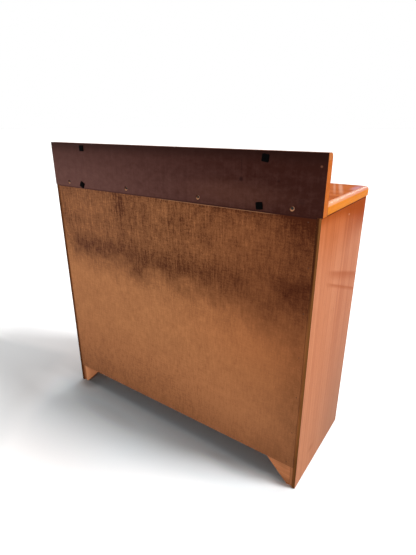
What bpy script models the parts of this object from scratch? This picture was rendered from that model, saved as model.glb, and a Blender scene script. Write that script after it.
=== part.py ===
"""Teak chest of four drawers with a raised back board, modelled as its separate pieces.

Metres, +Z up, the drawers face -Y. The origin is on the floor, under the middle of the object.
"""

import math

import bmesh
import bpy
from mathutils import Vector

# Gap left between pieces that are glued, nailed or resting on each other
SEAT_GAP = 0.0003
# Small chamfer on the arrises of planed boards
EDGE_EASE = 0.0008
EASED_ANGLE = math.radians(30)
# Points closer than this are one point
MERGE_WITHIN = 0.00001
# How far a cutter reaches past the face that it cuts
CUT_PAST = 0.002

# Top board, with solid lipping on its front and both ends
TOP_WIDTH = 0.900
TOP_THICKNESS = 0.026
TOP_FRONT_OVERHANG = 0.011
TOP_SIDE_OVERHANG = 0.002
TOP_CORNER_RADIUS = 0.008
TOP_CORNER_SEGMENTS = 4
LIPPING_WIDTH = 0.012
NOSING_RADIUS = 0.009
NOSING_SEGMENTS = 5
NOSING_UNDER_RADIUS = 0.003
NOSING_UNDER_SEGMENTS = 2

# Side panels, rebated along the back edge for the back panel
SIDE_HEIGHT = 0.757
SIDE_DEPTH = 0.340
SIDE_THICKNESS = 0.018
REBATE_WIDTH = 0.008
REBATE_DEPTH = 0.005

# Raised board across the back of the top
UPSTAND_RISE = 0.105
UPSTAND_THICKNESS = 0.025
UPSTAND_LIPPING_HEIGHT = 0.014
UPSTAND_NOSE_RADIUS = 0.010
UPSTAND_NOSE_SEGMENTS = 6

# Countersunk screws that hold the raised board to the back edge of the top
SCREW_COUNT = 4
SCREW_END_INSET = 0.070
SCREW_LENGTH = 0.045
SCREW_SHANK_RADIUS = 0.0018
SCREW_HEAD_RADIUS = 0.0033
SCREW_HEAD_SUNK = 0.0025
SCREW_HOLE_PLAY = 0.0003
SCREW_STEPS = 12
HOLE_STEPS = 16

# Stick-on bumpers that keep the raised board off the wall
BUMPER_SIDE = 0.017
BUMPER_THICKNESS = 0.003
BUMPER_END_INSET = 0.143
BUMPER_EDGE_INSET = 0.0115
# Hand-placed: each slips this far along X and Z, and turns by this many degrees
BUMPER_SLIPS = ((-0.005, -0.003, 0), (0.009, -0.003, -26), (-0.004, -0.004, -8), (0.006, -0.001, 8))

# Back panel of thin hardboard
BACK_THICKNESS = 0.0032
BACK_SIDE_PLAY = 0.001
BACK_ABOVE_CUTOUT = 0.004

# Plinth rails, front and rear, cut away in the middle so that they stand on pointed feet
PLINTH_HEIGHT = 0.095
PLINTH_THICKNESS = 0.016
PLINTH_FRONT_SETBACK = 0.012
CUTOUT_HEIGHT = 0.064
CUTOUT_RUN = 0.064
FOOT_FLAT = 0.008

# Bottom panel and the rails under the top
BOTTOM_THICKNESS = 0.016
FRONT_RAIL_HEIGHT = 0.018
FRONT_RAIL_DEPTH = 0.045
REAR_RAIL_HEIGHT = 0.045
REAR_RAIL_THICKNESS = 0.018

# Drawer boxes
DRAWER_COUNT = 4
DRAWER_FRONT_THICKNESS = 0.018
DRAWER_FRONT_GAP = 0.003
DRAWER_SIDE_THICKNESS = 0.014
DRAWER_SIDE_PLAY = 0.0015
DRAWER_SIDE_LIFT = 0.012
DRAWER_SIDE_DROP = 0.026
DRAWER_BACK_THICKNESS = 0.012
DRAWER_BACK_DROP = 0.010
DRAWER_BACK_INSET = 0.010
DRAWER_BACK_HOUSING = 0.005
DRAWER_REAR_CLEARANCE = 0.008
DRAWER_BOTTOM_THICKNESS = 0.004
DRAWER_BOTTOM_LIFT = 0.010
DRAWER_BOTTOM_GROOVE = 0.006

# Lapped dovetails that join the drawer sides to the front
TAIL_COUNT = 4
TAIL_LENGTH = 0.012
TAIL_FLARE = 0.002
PIN_WIDTH = 0.008

# Hardwood strips that the grooved drawer sides slide on
RUNNER_HEIGHT = 0.014
RUNNER_WIDTH = 0.009
RUNNER_FRONT_SETBACK = 0.014
RUNNER_STOP_PLAY = 0.002
RUNNER_SIDE_PLAY = 0.001
RUNNER_UNDER_PLAY = 0.001

# Solid half-moon pulls, two on each drawer
PULL_LENGTH = 0.170
PULL_PROJECTION = 0.020
PULL_END_PROJECTION = 0.0024
PULL_DEPTH = 0.026
PULL_ROOT = 0.009
PULL_CROWN = 0.011
PULL_LIP_HEIGHT = 0.007
PULL_LIP_INSET = 0.0044
PULL_SWELL = 0.009
PULL_LIP_ROUND = 0.004
PULL_ARC_POINTS = 4
PULL_STEPS = 16
PULL_END_INSET = 0.2085
PULL_BELOW_EDGE = 0.052

# Planes that the pieces share
REAR_REACH = SEAT_GAP + BUMPER_THICKNESS
FRONT_REACH = SEAT_GAP + PULL_PROJECTION
BACK_Y = (SIDE_DEPTH + FRONT_REACH - REAR_REACH) / 2
FRONT_Y = BACK_Y - SIDE_DEPTH
REBATE_Y = BACK_Y - REBATE_DEPTH
OUTER_X = TOP_WIDTH / 2 - TOP_SIDE_OVERHANG
INNER_X = OUTER_X - SIDE_THICKNESS
PANEL_X = INNER_X - SEAT_GAP
TOP_UNDER_Z = SIDE_HEIGHT + SEAT_GAP
TOP_Z = TOP_UNDER_Z + TOP_THICKNESS
UPSTAND_TOP_Z = TOP_Z + UPSTAND_RISE
UPSTAND_FRONT_Y = BACK_Y - UPSTAND_THICKNESS
BOTTOM_UNDER_Z = PLINTH_HEIGHT + SEAT_GAP
BOTTOM_Z = BOTTOM_UNDER_Z + BOTTOM_THICKNESS
FRONT_RAIL_UNDER_Z = SIDE_HEIGHT - FRONT_RAIL_HEIGHT
REAR_RAIL_FRONT_Y = REBATE_Y - REAR_RAIL_THICKNESS

# Drawer sizes that follow from the carcass
DRAWER_PITCH = (FRONT_RAIL_UNDER_Z - BOTTOM_Z - DRAWER_FRONT_GAP) / DRAWER_COUNT
DRAWER_FRONT_HEIGHT = DRAWER_PITCH - DRAWER_FRONT_GAP
DRAWER_FRONT_BACK_Y = FRONT_Y + DRAWER_FRONT_THICKNESS
SHOULDER_Y = DRAWER_FRONT_BACK_Y + SEAT_GAP
TAIL_TIP_Y = DRAWER_FRONT_BACK_Y - TAIL_LENGTH
DRAWER_END_Y = REAR_RAIL_FRONT_Y - DRAWER_REAR_CLEARANCE
DRAWER_BACK_Y = DRAWER_END_Y - DRAWER_BACK_INSET
DRAWER_OUTER_X = INNER_X - DRAWER_SIDE_PLAY
DRAWER_INNER_X = DRAWER_OUTER_X - DRAWER_SIDE_THICKNESS
SLOT_X = DRAWER_INNER_X + DRAWER_BOTTOM_GROOVE
HOUSING_X = DRAWER_INNER_X + DRAWER_BACK_HOUSING
RUNNER_OUTER_X = INNER_X - SEAT_GAP
RUNNER_INNER_X = RUNNER_OUTER_X - RUNNER_WIDTH
RUNNER_FRONT_Y = SHOULDER_Y + RUNNER_FRONT_SETBACK

# Heights above a drawer side's lower edge
DRAWER_SIDE_HEIGHT = DRAWER_FRONT_HEIGHT - DRAWER_SIDE_LIFT - DRAWER_SIDE_DROP
RUNNER_LOW = (DRAWER_SIDE_HEIGHT - RUNNER_HEIGHT) / 2
RUNNER_HIGH = RUNNER_LOW + RUNNER_HEIGHT
SLOT_LOW = DRAWER_BOTTOM_LIFT - SEAT_GAP
SLOT_HIGH = DRAWER_BOTTOM_LIFT + DRAWER_BOTTOM_THICKNESS + SEAT_GAP
DRAWER_BACK_HIGH = DRAWER_SIDE_HEIGHT - DRAWER_BACK_DROP

SIDES = {"left": -1, "right": 1}


def clear_scene():
    for obj in list(bpy.data.objects):
        bpy.data.objects.remove(obj, do_unlink=True)


def new_collection(name):
    made = bpy.data.collections.new(name)
    bpy.context.scene.collection.children.link(made)
    return made


def finish(name, colour, roughness, metallic=0.0):
    """A plain material of one colour."""
    made = bpy.data.materials.new(name)
    made.use_nodes = True
    shader = made.node_tree.nodes["Principled BSDF"]
    shader.inputs["Base Color"].default_value = (*colour, 1.0)
    shader.inputs["Roughness"].default_value = roughness
    shader.inputs["Metallic"].default_value = metallic
    return made


clear_scene()
PARTS = new_collection("chest_of_drawers")
CUTTERS = new_collection("cutters")
TEAK_VENEER = finish("teak_veneer", (0.50, 0.20, 0.08), 0.35)
TEAK_SOLID = finish("teak_solid", (0.58, 0.24, 0.07), 0.38)
BROWN_BACKING = finish("brown_backing", (0.085, 0.040, 0.033), 0.55)
HARDBOARD = finish("hardboard", (0.27, 0.115, 0.045), 0.8)
SOFTWOOD = finish("softwood", (0.50, 0.27, 0.12), 0.7)
BEECH = finish("beech", (0.60, 0.40, 0.22), 0.55)
DRAWER_PLY = finish("drawer_ply", (0.52, 0.33, 0.18), 0.6)
STEEL = finish("screw_steel", (0.12, 0.11, 0.10), 0.45, 0.9)
BLACK_RUBBER = finish("black_rubber", (0.012, 0.012, 0.012), 0.85)


def add_part(name, data, material, location, parent=None):
    """Puts a shape into the scene as a named piece. The location is in the chest's frame."""
    obj = bpy.data.objects.new(name, data)
    PARTS.objects.link(obj)
    if material is not None:
        data.materials.append(material)
    obj.parent = parent
    obj.location = Vector(location) - (parent.location if parent else Vector())
    return obj


def as_helper(obj):
    """A cutter or guide curve, which is no piece of the chest."""
    PARTS.objects.unlink(obj)
    CUTTERS.objects.link(obj)
    obj.hide_render = True
    obj.display_type = "WIRE"
    return obj


def ease_edges(obj):
    bevel = obj.modifiers.new("eased_edges", "BEVEL")
    bevel.width = EDGE_EASE
    bevel.segments = 1
    bevel.limit_method = "ANGLE"
    bevel.angle_limit = EASED_ANGLE


def cut_away(obj, cutter):
    cut = obj.modifiers.new("cut_" + cutter.name, "BOOLEAN")
    cut.operation = "DIFFERENCE"
    cut.solver = "EXACT"
    cut.object = cutter


def box_mesh(low, high):
    """A box centred on its own origin, as an open bmesh, with the place of its centre."""
    low, high = Vector(low), Vector(high)
    shape = bmesh.new()
    bmesh.ops.create_cube(shape, size=1.0)
    bmesh.ops.scale(shape, vec=high - low, verts=shape.verts)
    return shape, (low + high) / 2


def mesh_of(shape, name):
    bmesh.ops.recalc_face_normals(shape, faces=shape.faces)
    mesh = bpy.data.meshes.new(name)
    shape.to_mesh(mesh)
    shape.free()
    return mesh


def board(name, low, high, material, parent=None, eased=False):
    """A sawn board between two corners."""
    shape, centre = box_mesh(low, high)
    obj = add_part(name, mesh_of(shape, name), material, centre, parent)
    if eased:
        ease_edges(obj)
    return obj


def cut_box(obj, name, low, high, parent):
    """Takes a box out of a piece that moves with this parent."""
    cut_away(obj, as_helper(board(name, low, high, None, parent)))


def outline_curve(name, outlines, thickness):
    """Closed flat outlines given thickness, half of it on each side."""
    curve = bpy.data.curves.new(name, "CURVE")
    curve.dimensions = "2D"
    curve.fill_mode = "BOTH"
    curve.extrude = thickness / 2
    for outline in outlines:
        spline = curve.splines.new("POLY")
        spline.points.add(len(outline) - 1)
        for point, (across, up) in zip(spline.points, outline):
            point.co = (across, up, 0.0, 1.0)
        spline.use_cyclic_u = True
    return curve


def outline_mesh(name, outlines, thickness):
    """The same as a closed mesh, which a Boolean can cut or cut with."""
    sketch = bpy.data.objects.new(name, outline_curve(name, outlines, thickness))
    mesh = bpy.data.meshes.new_from_object(sketch)
    bpy.data.objects.remove(sketch)
    shape = bmesh.new()
    shape.from_mesh(mesh)
    bpy.data.meshes.remove(mesh)
    bmesh.ops.remove_doubles(shape, verts=shape.verts, dist=MERGE_WITHIN)
    return mesh_of(shape, name)


def turned(name, profile, steps):
    """A shape turned about its own Z axis. The profile runs down its outer side."""
    mesh = bpy.data.meshes.new(name)
    points = [(radius, 0.0, height) for radius, height in profile]
    mesh.from_pydata(points, [(i, i + 1) for i in range(len(points) - 1)], [])
    obj = add_part(name, mesh, None, (0, 0, 0))
    lathe = obj.modifiers.new("turned", "SCREW")
    lathe.axis = "Z"
    lathe.steps = steps
    lathe.render_steps = steps
    lathe.use_merge_vertices = True
    lathe.merge_threshold = MERGE_WITHIN
    return obj


def edges_where(shape, test):
    """The edges whose two ends both pass the test."""
    return [edge for edge in shape.edges if all(test(vert.co) for vert in edge.verts)]


def round_edges(shape, edges, radius, segments):
    bmesh.ops.bevel(
        shape, geom=edges, offset=radius, segments=segments, profile=0.5, affect="EDGES", clamp_overlap=True
    )


def keep_behind(shape, point, normal):
    """Saws a solid along a plane and keeps the part that the normal points away from."""
    everything = shape.verts[:] + shape.edges[:] + shape.faces[:]
    sawn = bmesh.ops.bisect_plane(
        shape, geom=everything, dist=MERGE_WITHIN, plane_co=point, plane_no=normal, clear_outer=True
    )
    rim = [item for item in sawn["geom_cut"] if isinstance(item, bmesh.types.BMEdge)]
    bmesh.ops.contextual_create(shape, geom=rim)


def sawn_part(name, blank, cuts, material):
    """A piece sawn out of a moulded blank. A cut is a point on the glue line and the way off the piece."""
    shape, centre = blank()
    for point, normal in cuts:
        away = Vector(normal).normalized()
        keep_behind(shape, Vector(point) - centre - away * SEAT_GAP / 2, away)
    return add_part(name, mesh_of(shape, name), material, centre)


def top_blank():
    """The whole top with its lipping glued on and its front and ends moulded."""
    low = Vector((-TOP_WIDTH / 2, FRONT_Y - TOP_FRONT_OVERHANG, TOP_UNDER_Z))
    high = Vector((TOP_WIDTH / 2, UPSTAND_FRONT_Y - SEAT_GAP, TOP_Z))
    shape, centre = box_mesh(low, high)
    half = (high - low) / 2
    at_front = edges_where(shape, lambda co: co.y < MERGE_WITHIN - half.y)
    upright = [edge for edge in at_front if abs(edge.verts[0].co.x - edge.verts[1].co.x) < MERGE_WITHIN]
    round_edges(shape, upright, TOP_CORNER_RADIUS, TOP_CORNER_SEGMENTS)
    for level, radius, segments in (
        (half.z, NOSING_RADIUS, NOSING_SEGMENTS),
        (-half.z, NOSING_UNDER_RADIUS, NOSING_UNDER_SEGMENTS),
    ):
        rim = edges_where(shape, lambda co: abs(co.z - level) < MERGE_WITHIN)
        moulded = [edge for edge in rim if min(vert.co.y for vert in edge.verts) < half.y - MERGE_WITHIN]
        round_edges(shape, moulded, radius, segments)
    return shape, centre


def build_top():
    """The veneered panel and three solid lippings, mitred at the front corners."""
    front_line = (0.0, FRONT_Y - TOP_FRONT_OVERHANG + LIPPING_WIDTH, TOP_Z)
    panel_cuts = [(front_line, (0, -1, 0))]
    front_cuts = [(front_line, (0, 1, 0))]
    for name, side in SIDES.items():
        end_line = (side * (TOP_WIDTH / 2 - LIPPING_WIDTH), 0.0, TOP_Z)
        mitre = (end_line[0], front_line[1], TOP_Z)
        panel_cuts.append((end_line, (side, 0, 0)))
        front_cuts.append((mitre, (side, 1, 0)))
        end_cuts = [(end_line, (-side, 0, 0)), (mitre, (-side, -1, 0))]
        sawn_part("top_lipping_" + name, top_blank, end_cuts, TEAK_SOLID)
    sawn_part("top_lipping_front", top_blank, front_cuts, TEAK_SOLID)
    return sawn_part("top_panel", top_blank, panel_cuts, TEAK_VENEER)


def upstand_blank():
    """The whole raised board, rounded over along its upper front edge."""
    low = (-TOP_WIDTH / 2, UPSTAND_FRONT_Y, TOP_UNDER_Z)
    high = (TOP_WIDTH / 2, BACK_Y, UPSTAND_TOP_Z)
    shape, centre = box_mesh(low, high)
    nose = edges_where(shape, lambda co: co.y < 0 < co.z)
    round_edges(shape, nose, UPSTAND_NOSE_RADIUS, UPSTAND_NOSE_SEGMENTS)
    return shape, centre


def build_upstand():
    """The board with a brown back, and the solid strip that makes its rounded upper edge."""
    glue_line = (0.0, BACK_Y, UPSTAND_TOP_Z - UPSTAND_LIPPING_HEIGHT)
    sawn_part("upstand_lipping", upstand_blank, [(glue_line, (0, 0, -1))], TEAK_SOLID)
    return sawn_part("upstand_board", upstand_blank, [(glue_line, (0, 0, 1))], BROWN_BACKING)


def screw_profile(play):
    """Half outline of a countersunk screw, grown by the play, below the upper rim of its head."""
    head = SCREW_HEAD_RADIUS + play
    shank = SCREW_SHANK_RADIUS + play
    end = -SCREW_LENGTH - play
    return [(head, 0.0), (shank, shank - head), (shank, end), (0.0, end)]


def build_screws(upstand, top):
    """Screws through the raised board into the back edge of the top, each in its own countersunk hole."""
    pitch = (TOP_WIDTH - 2 * SCREW_END_INSET) / (SCREW_COUNT - 1)
    height = TOP_UNDER_Z + TOP_THICKNESS / 2
    mouth_height = SCREW_HEAD_SUNK + CUT_PAST
    mouth_radius = SCREW_HEAD_RADIUS + SCREW_HOLE_PLAY + mouth_height
    for i in range(SCREW_COUNT):
        place = (SCREW_END_INSET + i * pitch - TOP_WIDTH / 2, BACK_Y - SCREW_HEAD_SUNK, height)
        screw = turned(f"upstand_screw_{i + 1}", [(0.0, 0.0), *screw_profile(0.0)], SCREW_STEPS)
        screw.data.materials.append(STEEL)
        hole = [(0.0, mouth_height), (mouth_radius, mouth_height), *screw_profile(SCREW_HOLE_PLAY)]
        drill = as_helper(turned(f"screw_hole_{i + 1}", hole, HOLE_STEPS))
        for obj in (screw, drill):
            obj.location = place
            obj.rotation_euler = (-math.pi / 2, 0.0, 0.0)
        cut_away(upstand, drill)
        cut_away(top, drill)


def build_bumpers():
    """Four square bumpers stuck by hand to the back of the raised board."""
    places = [(side, edge) for side in (1, -1) for edge in (1, -1)]
    y = BACK_Y + SEAT_GAP + BUMPER_THICKNESS / 2
    for i, ((side, edge), (slip_x, slip_z, turn)) in enumerate(zip(places, BUMPER_SLIPS)):
        name = f"wall_bumper_{i + 1}"
        shape, _ = box_mesh((0, 0, 0), (BUMPER_SIDE, BUMPER_THICKNESS, BUMPER_SIDE))
        x = side * (TOP_WIDTH / 2 - BUMPER_END_INSET) + slip_x
        edge_z = UPSTAND_TOP_Z if edge > 0 else TOP_UNDER_Z
        z = edge_z - edge * BUMPER_EDGE_INSET + slip_z
        bumper = add_part(name, mesh_of(shape, name), BLACK_RUBBER, (x, y, z))
        bumper.rotation_euler = (0.0, math.radians(turn), 0.0)
        ease_edges(bumper)


def build_sides():
    """Side panels down to the floor, with a rebate along the inner back edge."""
    for name, side in SIDES.items():
        outline = [
            (side * OUTER_X, FRONT_Y),
            (side * OUTER_X, BACK_Y),
            (side * (INNER_X + REBATE_WIDTH), BACK_Y),
            (side * (INNER_X + REBATE_WIDTH), REBATE_Y),
            (side * INNER_X, REBATE_Y),
            (side * INNER_X, FRONT_Y),
        ]
        curve = outline_curve("side_panel", [outline], SIDE_HEIGHT)
        panel = add_part("side_panel_" + name, curve, TEAK_VENEER, (0, 0, SIDE_HEIGHT / 2))
        panel.modifiers.new("joined_caps", "WELD").merge_threshold = MERGE_WITHIN
        ease_edges(panel)


def build_back():
    """Hardboard let into the rebates, from under the raised board to the rear plinth."""
    width = INNER_X + REBATE_WIDTH - BACK_SIDE_PLAY
    front = REBATE_Y + SEAT_GAP
    low = (-width, front, CUTOUT_HEIGHT + BACK_ABOVE_CUTOUT)
    board("back_panel", low, (width, front + BACK_THICKNESS, SIDE_HEIGHT), HARDBOARD)


def build_plinth(name, front_y, material):
    """A rail with a wide opening below, which leaves a pointed foot at each end."""
    toe = PANEL_X - FOOT_FLAT
    crown = toe - CUTOUT_RUN
    right = [(toe, 0.0), (PANEL_X, 0.0), (PANEL_X, PLINTH_HEIGHT)]
    left = [(-x, z) for x, z in reversed(right)]
    outline = [(-crown, CUTOUT_HEIGHT), (crown, CUTOUT_HEIGHT), *right, *left]
    curve = outline_curve(name, [outline], PLINTH_THICKNESS)
    plinth = add_part(name, curve, material, (0, front_y + PLINTH_THICKNESS / 2, 0))
    plinth.rotation_euler = (math.pi / 2, 0.0, 0.0)


def build_base():
    """Front and rear plinths with the bottom panel lying on them."""
    build_plinth("front_plinth", FRONT_Y + PLINTH_FRONT_SETBACK, TEAK_VENEER)
    build_plinth("rear_plinth", REBATE_Y - PLINTH_THICKNESS, SOFTWOOD)
    low = (-PANEL_X, FRONT_Y, BOTTOM_UNDER_Z)
    board("bottom_panel", low, (PANEL_X, REBATE_Y, BOTTOM_Z), TEAK_VENEER, eased=True)


def build_rails():
    """Rails that tie the sides together under the top."""
    low = (-PANEL_X, FRONT_Y, FRONT_RAIL_UNDER_Z)
    high = (PANEL_X, FRONT_Y + FRONT_RAIL_DEPTH, SIDE_HEIGHT)
    board("front_top_rail", low, high, TEAK_SOLID, eased=True)
    low = (-PANEL_X, REAR_RAIL_FRONT_Y, SIDE_HEIGHT - REAR_RAIL_HEIGHT)
    board("rear_top_rail", low, (PANEL_X, REBATE_Y, SIDE_HEIGHT), SOFTWOOD)


def build_runners(number, side_z):
    """A pair of strips on the side panels, in the grooves of one drawer."""
    for name, side in SIDES.items():
        near, far = sorted((side * RUNNER_INNER_X, side * RUNNER_OUTER_X))
        low = (near, RUNNER_FRONT_Y, side_z + RUNNER_LOW)
        high = (far, REAR_RAIL_FRONT_Y - SEAT_GAP, side_z + RUNNER_HIGH)
        board(f"runner_{number}_{name}", low, high, BEECH)


def pull_section():
    """Section of a pull at its middle: a rounded lip, with its lower face sloping up to the drawer front."""
    curve = bpy.data.curves.new("pull_section", "CURVE")
    curve.dimensions = "2D"
    curve.resolution_u = PULL_ARC_POINTS
    # Each knot: its place, out and up, and how far its handles reach before and after it
    knots = (
        ((0.0, 0.0), (0.0, 0.0), (PULL_CROWN, 0.0)),
        ((PULL_PROJECTION, PULL_LIP_HEIGHT - PULL_DEPTH), (0.0, PULL_SWELL), (0.0, -PULL_LIP_ROUND)),
        ((PULL_PROJECTION - PULL_LIP_INSET, -PULL_DEPTH), (PULL_LIP_INSET / 2, 0.0), (0.0, 0.0)),
        ((0.0, -PULL_ROOT), (0.0, 0.0), (0.0, 0.0)),
    )
    spline = curve.splines.new("BEZIER")
    spline.bezier_points.add(len(knots) - 1)
    for point, (place, before, after) in zip(spline.bezier_points, knots):
        point.handle_left_type = "FREE"
        point.handle_right_type = "FREE"
        point.co = (*place, 0.0)
        point.handle_left = (place[0] + before[0], place[1] + before[1], 0.0)
        point.handle_right = (place[0] + after[0], place[1] + after[1], 0.0)
    spline.use_cyclic_u = True
    return as_helper(add_part("pull_section", curve, None, (0, 0, 0)))


def pull_curve():
    """The section carried along a straight line and drawn in towards both ends, which gives a half-moon."""
    curve = bpy.data.curves.new("pull", "CURVE")
    curve.dimensions = "3D"
    curve.twist_mode = "Z_UP"
    curve.bevel_mode = "OBJECT"
    curve.bevel_object = pull_section()
    curve.use_fill_caps = True
    curve.materials.append(TEAK_SOLID)
    spline = curve.splines.new("POLY")
    spline.points.add(PULL_STEPS)
    drawn_in = 1 - PULL_END_PROJECTION / PULL_PROJECTION
    for i, point in enumerate(spline.points):
        along = 2 * i / PULL_STEPS - 1
        point.co = (along * PULL_LENGTH / 2, 0.0, 0.0, 1.0)
        point.radius = 1 - drawn_in * along * along
    return curve


def tail_middles():
    """Heights of the middles of a side's tails, and half a tail's width at its tip."""
    pitch = DRAWER_SIDE_HEIGHT / TAIL_COUNT
    return [(i + 0.5) * pitch for i in range(TAIL_COUNT)], (pitch - PIN_WIDTH) / 2


def side_outline():
    """A drawer side seen from its face, in Y and Z, with dovetails on its front end."""
    middles, half = tail_middles()
    outline = [(SHOULDER_Y, 0.0)]
    for middle in middles:
        outline.append((SHOULDER_Y, middle - half + TAIL_FLARE))
        outline.append((TAIL_TIP_Y, middle - half))
        outline.append((TAIL_TIP_Y, middle + half))
        outline.append((SHOULDER_Y, middle + half - TAIL_FLARE))
    outline += [(SHOULDER_Y, DRAWER_SIDE_HEIGHT), (DRAWER_END_Y, DRAWER_SIDE_HEIGHT), (DRAWER_END_Y, 0.0)]
    return outline


def socket_outlines():
    """The sockets for those tails, a seat gap larger all round and open past the front's back face."""
    middles, half = tail_middles()
    tip = half + SEAT_GAP
    base = tip - TAIL_FLARE
    outlines = []
    for middle in middles:
        outlines.append([
            (SHOULDER_Y + CUT_PAST, middle - base),
            (SHOULDER_Y, middle - base),
            (TAIL_TIP_Y - SEAT_GAP, middle - tip),
            (TAIL_TIP_Y - SEAT_GAP, middle + tip),
            (SHOULDER_Y, middle + base),
            (SHOULDER_Y + CUT_PAST, middle + base),
        ])
    return outlines


def side_view_part(name, outlines, near, far, side_z, material, parent):
    """Outlines in Y and Z, measured from a drawer side's lower edge, given thickness along X."""
    mesh = outline_mesh(name, outlines, abs(far - near))
    obj = add_part(name, mesh, material, ((near + far) / 2, 0.0, side_z), parent)
    obj.rotation_euler = (math.pi / 2, 0.0, math.pi / 2)
    return obj


def build_drawer_side(name, side, side_z, slide):
    """A side with tails, grooved outside for its runner and inside for the bottom and the back."""
    near, far = side * DRAWER_INNER_X, side * DRAWER_OUTER_X
    part = side_view_part(name, [side_outline()], near, far, side_z, BEECH, slide)

    def cut(what, inner, outer, front, rear, low, high):
        left, right = sorted((side * inner, side * outer))
        corners = (left, front, side_z + low), (right, rear, side_z + high)
        cut_box(part, f"{name}_{what}", *corners, slide)

    cut(
        "groove", RUNNER_INNER_X - RUNNER_SIDE_PLAY, DRAWER_OUTER_X + CUT_PAST,
        RUNNER_FRONT_Y - RUNNER_STOP_PLAY, DRAWER_END_Y + CUT_PAST,
        RUNNER_LOW - RUNNER_UNDER_PLAY, RUNNER_HIGH + SEAT_GAP,
    )
    cut(
        "slot", DRAWER_INNER_X - CUT_PAST, SLOT_X,
        TAIL_TIP_Y - CUT_PAST, DRAWER_END_Y + CUT_PAST, SLOT_LOW, SLOT_HIGH,
    )
    cut(
        "housing", DRAWER_INNER_X - CUT_PAST, HOUSING_X,
        DRAWER_BACK_Y - DRAWER_BACK_THICKNESS - SEAT_GAP, DRAWER_BACK_Y + SEAT_GAP,
        DRAWER_BOTTOM_LIFT, DRAWER_BACK_HIGH + SEAT_GAP,
    )


def build_drawer(number, low_z, pull):
    """One drawer: front, dovetailed sides, back and bottom, with its two pulls and its runners."""
    name = f"drawer_{number}"
    slide = bpy.data.objects.new(name + "_slide", None)
    PARTS.objects.link(slide)
    slide.location = (0.0, FRONT_Y, low_z)
    side_z = low_z + DRAWER_SIDE_LIFT

    low = (-DRAWER_OUTER_X, FRONT_Y, low_z)
    high = (DRAWER_OUTER_X, DRAWER_FRONT_BACK_Y, low_z + DRAWER_FRONT_HEIGHT)
    front = board(name + "_front", low, high, TEAK_VENEER, slide, eased=True)
    low = (-SLOT_X, DRAWER_FRONT_BACK_Y - DRAWER_BOTTOM_GROOVE, side_z + SLOT_LOW)
    high = (SLOT_X, DRAWER_FRONT_BACK_Y + CUT_PAST, side_z + SLOT_HIGH)
    cut_box(front, name + "_front_slot", low, high, slide)

    for side_name, side in SIDES.items():
        build_drawer_side(f"{name}_side_{side_name}", side, side_z, slide)
        near, far = side * (DRAWER_INNER_X - SEAT_GAP), side * (DRAWER_OUTER_X + CUT_PAST)
        sockets = f"{name}_sockets_{side_name}"
        cut_away(front, as_helper(side_view_part(sockets, socket_outlines(), near, far, side_z, None, slide)))
        pull_x = side * (DRAWER_OUTER_X - PULL_END_INSET)
        pull_z = low_z + DRAWER_FRONT_HEIGHT - PULL_BELOW_EDGE
        add_part(f"{name}_pull_{side_name}", pull, None, (pull_x, FRONT_Y - SEAT_GAP, pull_z), slide)

    bottom_x = SLOT_X - SEAT_GAP
    bottom_z = side_z + DRAWER_BOTTOM_LIFT
    low = (-bottom_x, DRAWER_FRONT_BACK_Y - DRAWER_BOTTOM_GROOVE + SEAT_GAP, bottom_z)
    high = (bottom_x, DRAWER_BACK_Y, bottom_z + DRAWER_BOTTOM_THICKNESS)
    board(name + "_bottom", low, high, DRAWER_PLY, slide)
    back_x = HOUSING_X - SEAT_GAP
    low = (-back_x, DRAWER_BACK_Y - DRAWER_BACK_THICKNESS, side_z + SLOT_HIGH)
    board(name + "_back", low, (back_x, DRAWER_BACK_Y, side_z + DRAWER_BACK_HIGH), BEECH, slide)
    build_runners(number, side_z)


def main():
    build_sides()
    build_base()
    build_rails()
    build_back()
    top = build_top()
    upstand = build_upstand()
    build_screws(upstand, top)
    build_bumpers()
    pull = pull_curve()
    for number in range(1, DRAWER_COUNT + 1):
        build_drawer(number, FRONT_RAIL_UNDER_Z - number * DRAWER_PITCH, pull)


main()
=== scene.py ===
"""Finishes, small fittings, floor, light and camera for the teak chest of drawers.

Metres, +Z up, the drawers face -Y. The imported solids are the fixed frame. Each section finishes or adds one
kind of piece, in the order of assembly.
"""

import math

import bpy
import numpy as np
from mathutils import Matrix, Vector


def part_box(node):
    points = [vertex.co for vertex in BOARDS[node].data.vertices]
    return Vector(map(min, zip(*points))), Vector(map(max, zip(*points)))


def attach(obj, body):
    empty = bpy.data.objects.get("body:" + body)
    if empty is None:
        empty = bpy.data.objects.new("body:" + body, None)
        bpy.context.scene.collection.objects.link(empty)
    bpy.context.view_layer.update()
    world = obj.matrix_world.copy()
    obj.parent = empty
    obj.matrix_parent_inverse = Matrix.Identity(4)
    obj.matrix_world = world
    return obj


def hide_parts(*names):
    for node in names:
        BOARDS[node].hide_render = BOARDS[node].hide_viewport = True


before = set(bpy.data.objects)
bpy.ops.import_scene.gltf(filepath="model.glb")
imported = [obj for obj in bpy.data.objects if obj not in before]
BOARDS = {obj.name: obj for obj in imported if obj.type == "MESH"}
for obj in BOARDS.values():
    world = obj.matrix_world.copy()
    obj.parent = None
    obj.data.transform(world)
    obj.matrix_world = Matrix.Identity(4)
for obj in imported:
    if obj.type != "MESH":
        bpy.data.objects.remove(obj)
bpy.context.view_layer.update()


# Side panels
# Upright boards faced with straight-grained teak, standing on the floor. Lower down and towards the front the
# veneer is painted paler and pinker as a sheen. Under the top it is painted deeper orange as shade, with a
# darker painted shadow just below the top and a dark painted line of shade along its upper edge. A pale dot
# is painted on as a highlight, and two long dark lines on the left one as reflections. The inside was left
# plain, and the sawn back edge is raw beside the rebate; both are painted darker as shade in the rebate and
# its gap.
SIDE_OUTER_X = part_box("side_panel_right")[1].x
SIDE_FRONT_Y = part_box("side_panel_right")[0].y
SIDE_BACK_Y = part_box("side_panel_right")[1].y
SIDE_TOP_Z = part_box("side_panel_right")[1].z
SKIN = 0.0004
# Each painted reflection line has its rise along the depth, its height, its soft edge above and below, and
# its share
REFLECTED_LINES = ((0.302, 0.583, 0.008, 0.028, 0.60), (0.376, 0.5465, 0.005, 0.011, 0.62))


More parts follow.
